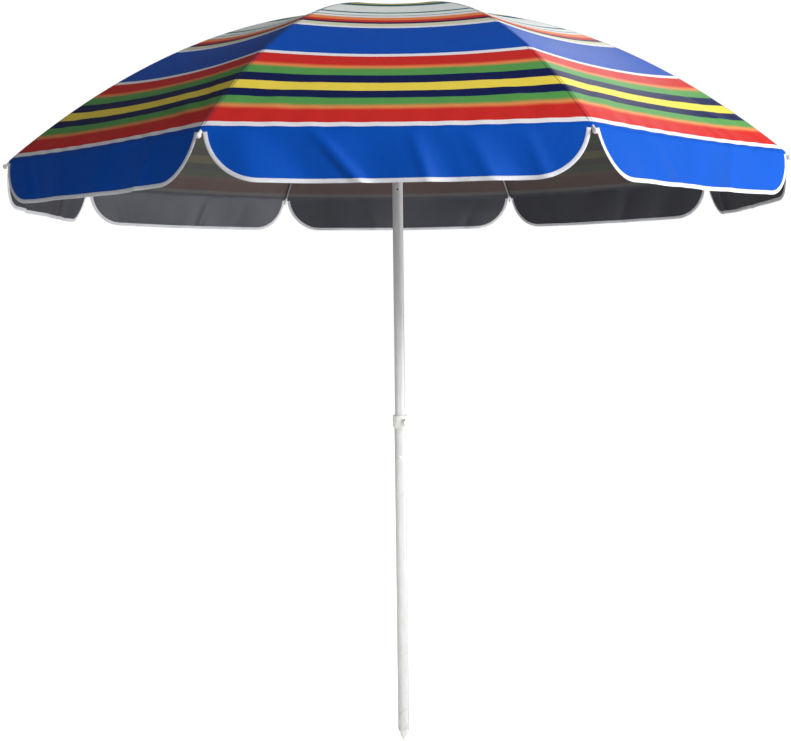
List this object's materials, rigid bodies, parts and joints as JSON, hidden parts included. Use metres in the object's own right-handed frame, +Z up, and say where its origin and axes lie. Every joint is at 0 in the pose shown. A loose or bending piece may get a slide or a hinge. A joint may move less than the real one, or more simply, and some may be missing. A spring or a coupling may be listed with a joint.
{
  "type": "beach umbrella",
  "caption": "Folding beach umbrella: ribbed octagonal canopy with a scalloped valance on a telescoping pole with a collar clamp and a pointed ground spike.",
  "frame": {"origin": "on the pole's axis at the point of the ground spike", "axes": "+Z up along the pole, the front panel faces -Y"},
  "size_m": [1.8878, 1.8878, 1.9872],
  "materials": {
    "white_plastic": "satin moulded",
    "white_pole": "satin powder coat",
    "steel": "zinc plated",
    "brass": "machined",
    "dark_pin": "satin",
    "button_plastic": "satin",
    "washer_plastic": "satin",
    "rib_rod": "satin",
    "stretcher_rod": "satin",
    "tip_plastic": "moulded",
    "canopy_cloth": "plain weave"
  },
  "bodies": {
    "lower_pole": {"lower_pole": "white_pole", "ground_spike": "white_plastic", "collar": "white_plastic", "clamp_nut": "brass"},
    "clamp_knob": {"clamp_knob": "white_plastic", "clamp_screw": "steel"},
    "upper_pole": {"upper_pole": "white_pole", "pole_plug": "dark_pin", "hub": "white_plastic", "hub_wire": "steel", "hub_rivet": "steel", "finial_cap": "white_plastic", "finial_screw": "steel", "crown_washer": "washer_plastic", "catch_pin": "dark_pin"},
    "snap_button": {"snap_clip": "button_plastic"},
    "catch": {"catch_spring": "steel"},
    "runner": {"runner": "white_plastic", "runner_wire": "steel"},
    "rib_1": {"rib_1": "rib_rod", "rib_clip_1": "steel", "rib_tip_1": "tip_plastic", "canopy_1": "canopy_cloth"},
    "rib_2": {"rib_2": "rib_rod", "rib_clip_2": "steel", "rib_tip_2": "tip_plastic", "canopy_2": "canopy_cloth"},
    "rib_3": {"rib_3": "rib_rod", "rib_clip_3": "steel", "rib_tip_3": "tip_plastic", "canopy_3": "canopy_cloth"},
    "rib_4": {"rib_4": "rib_rod", "rib_clip_4": "steel", "rib_tip_4": "tip_plastic", "canopy_4": "canopy_cloth"},
    "rib_5": {"rib_5": "rib_rod", "rib_clip_5": "steel", "rib_tip_5": "tip_plastic", "canopy_5": "canopy_cloth"},
    "rib_6": {"rib_6": "rib_rod", "rib_clip_6": "steel", "rib_tip_6": "tip_plastic", "canopy_6": "canopy_cloth"},
    "rib_7": {"rib_7": "rib_rod", "rib_clip_7": "steel", "rib_tip_7": "tip_plastic", "canopy_7": "canopy_cloth"},
    "rib_8": {"rib_8": "rib_rod", "rib_clip_8": "steel", "rib_tip_8": "tip_plastic", "canopy_8": "canopy_cloth"},
    "stretcher_1": {"stretcher_1": "stretcher_rod"},
    "stretcher_2": {"stretcher_2": "stretcher_rod"},
    "stretcher_3": {"stretcher_3": "stretcher_rod"},
    "stretcher_4": {"stretcher_4": "stretcher_rod"},
    "stretcher_5": {"stretcher_5": "stretcher_rod"},
    "stretcher_6": {"stretcher_6": "stretcher_rod"},
    "stretcher_7": {"stretcher_7": "stretcher_rod"},
    "stretcher_8": {"stretcher_8": "stretcher_rod"}
  },
  "joints": [
    {"name": "height_slide", "type": "slide", "parent": "lower_pole", "child": "upper_pole", "axis": [0, 0, 1], "range_m": [-0.096, 0.125], "deforming": ["snap_clip"]},
    {"name": "clamp_turn", "type": "hinge", "parent": "lower_pole", "child": "clamp_knob", "pos_m": [0.015, -0.02598, 0.887], "axis": [0.5, -0.866, 0], "continuous": true},
    {"name": "snap_press", "type": "slide", "parent": "upper_pole", "child": "snap_button", "axis": [0, 1, 0], "range_m": [0, 0.0045], "stiffness_N_per_m": 1500, "springref_m": -0.002},
    {"name": "catch_press", "type": "slide", "parent": "upper_pole", "child": "catch", "axis": [0, 1, 0], "range_m": [0, 0.0038], "stiffness_N_per_m": 1500, "springref_m": -0.002},
    {"name": "runner_slide", "type": "slide", "parent": "upper_pole", "child": "runner", "axis": [0, 0, 1], "range_m": [-0.4275, 0], "deforming": ["catch_spring"]},
    {"name": "rib_1_hinge", "type": "hinge", "parent": "upper_pole", "child": "rib_1", "pos_m": [0.00804, -0.0194, 1.97057], "axis": [0.9239, 0.3827, 0], "range_deg": [0, 64.66], "deforming": ["canopy_1"]},
    {"name": "rib_2_hinge", "type": "hinge", "parent": "upper_pole", "child": "rib_2", "pos_m": [0.0194, -0.00804, 1.97057], "axis": [0.3827, 0.9239, 0], "range_deg": [0, 64.66], "deforming": ["canopy_2"]},
    {"name": "rib_3_hinge", "type": "hinge", "parent": "upper_pole", "child": "rib_3", "pos_m": [0.0194, 0.00804, 1.97057], "axis": [-0.3827, 0.9239, 0], "range_deg": [0, 64.66], "deforming": ["canopy_3"]},
    {"name": "rib_4_hinge", "type": "hinge", "parent": "upper_pole", "child": "rib_4", "pos_m": [0.00804, 0.0194, 1.97057], "axis": [-0.9239, 0.3827, 0], "range_deg": [0, 64.66], "deforming": ["canopy_4"]},
    {"name": "rib_5_hinge", "type": "hinge", "parent": "upper_pole", "child": "rib_5", "pos_m": [-0.00804, 0.0194, 1.97057], "axis": [-0.9239, -0.3827, 0], "range_deg": [0, 64.66], "deforming": ["canopy_5"]},
    {"name": "rib_6_hinge", "type": "hinge", "parent": "upper_pole", "child": "rib_6", "pos_m": [-0.0194, 0.00804, 1.97057], "axis": [-0.3827, -0.9239, 0], "range_deg": [0, 64.66], "deforming": ["canopy_6"]},
    {"name": "rib_7_hinge", "type": "hinge", "parent": "upper_pole", "child": "rib_7", "pos_m": [-0.0194, -0.00804, 1.97057], "axis": [0.3827, -0.9239, 0], "range_deg": [0, 64.66], "deforming": ["canopy_7"]},
    {"name": "rib_8_hinge", "type": "hinge", "parent": "upper_pole", "child": "rib_8", "pos_m": [-0.00804, -0.0194, 1.97057], "axis": [0.9239, -0.3827, 0], "range_deg": [0, 64.66], "deforming": ["canopy_8"]},
    {"name": "stretcher_1_hinge", "type": "hinge", "parent": "runner", "child": "stretcher_1", "pos_m": [0.00804, -0.0194, 1.58], "axis": [0.9239, 0.3827, 0], "range_deg": [-35.57, 0]},
    {"name": "stretcher_2_hinge", "type": "hinge", "parent": "runner", "child": "stretcher_2", "pos_m": [0.0194, -0.00804, 1.58], "axis": [0.3827, 0.9239, 0], "range_deg": [-35.57, 0]},
    {"name": "stretcher_3_hinge", "type": "hinge", "parent": "runner", "child": "stretcher_3", "pos_m": [0.0194, 0.00804, 1.58], "axis": [-0.3827, 0.9239, 0], "range_deg": [-35.57, 0]},
    {"name": "stretcher_4_hinge", "type": "hinge", "parent": "runner", "child": "stretcher_4", "pos_m": [0.00804, 0.0194, 1.58], "axis": [-0.9239, 0.3827, 0], "range_deg": [-35.57, 0]},
    {"name": "stretcher_5_hinge", "type": "hinge", "parent": "runner", "child": "stretcher_5", "pos_m": [-0.00804, 0.0194, 1.58], "axis": [-0.9239, -0.3827, 0], "range_deg": [-35.57, 0]},
    {"name": "stretcher_6_hinge", "type": "hinge", "parent": "runner", "child": "stretcher_6", "pos_m": [-0.0194, 0.00804, 1.58], "axis": [-0.3827, -0.9239, 0], "range_deg": [-35.57, 0]},
    {"name": "stretcher_7_hinge", "type": "hinge", "parent": "runner", "child": "stretcher_7", "pos_m": [-0.0194, -0.00804, 1.58], "axis": [0.3827, -0.9239, 0], "range_deg": [-35.57, 0]},
    {"name": "stretcher_8_hinge", "type": "hinge", "parent": "runner", "child": "stretcher_8", "pos_m": [-0.00804, -0.0194, 1.58], "axis": [0.9239, -0.3827, 0], "range_deg": [-35.57, 0]}
  ],
  "couplings": [
    {"joint": "rib_1_hinge", "follows": "runner_slide", "rad_per_m": -2.6378},
    {"joint": "rib_2_hinge", "follows": "runner_slide", "rad_per_m": -2.6378},
    {"joint": "rib_3_hinge", "follows": "runner_slide", "rad_per_m": -2.6378},
    {"joint": "rib_4_hinge", "follows": "runner_slide", "rad_per_m": -2.6378},
    {"joint": "rib_5_hinge", "follows": "runner_slide", "rad_per_m": -2.6378},
    {"joint": "rib_6_hinge", "follows": "runner_slide", "rad_per_m": -2.6378},
    {"joint": "rib_7_hinge", "follows": "runner_slide", "rad_per_m": -2.6378},
    {"joint": "rib_8_hinge", "follows": "runner_slide", "rad_per_m": -2.6378},
    {"joint": "stretcher_1_hinge", "follows": "runner_slide", "rad_per_m": 1.4503},
    {"joint": "stretcher_2_hinge", "follows": "runner_slide", "rad_per_m": 1.4503},
    {"joint": "stretcher_3_hinge", "follows": "runner_slide", "rad_per_m": 1.4503},
    {"joint": "stretcher_4_hinge", "follows": "runner_slide", "rad_per_m": 1.4503},
    {"joint": "stretcher_5_hinge", "follows": "runner_slide", "rad_per_m": 1.4503},
    {"joint": "stretcher_6_hinge", "follows": "runner_slide", "rad_per_m": 1.4503},
    {"joint": "stretcher_7_hinge", "follows": "runner_slide", "rad_per_m": 1.4503},
    {"joint": "stretcher_8_hinge", "follows": "runner_slide", "rad_per_m": 1.4503}
  ]
}
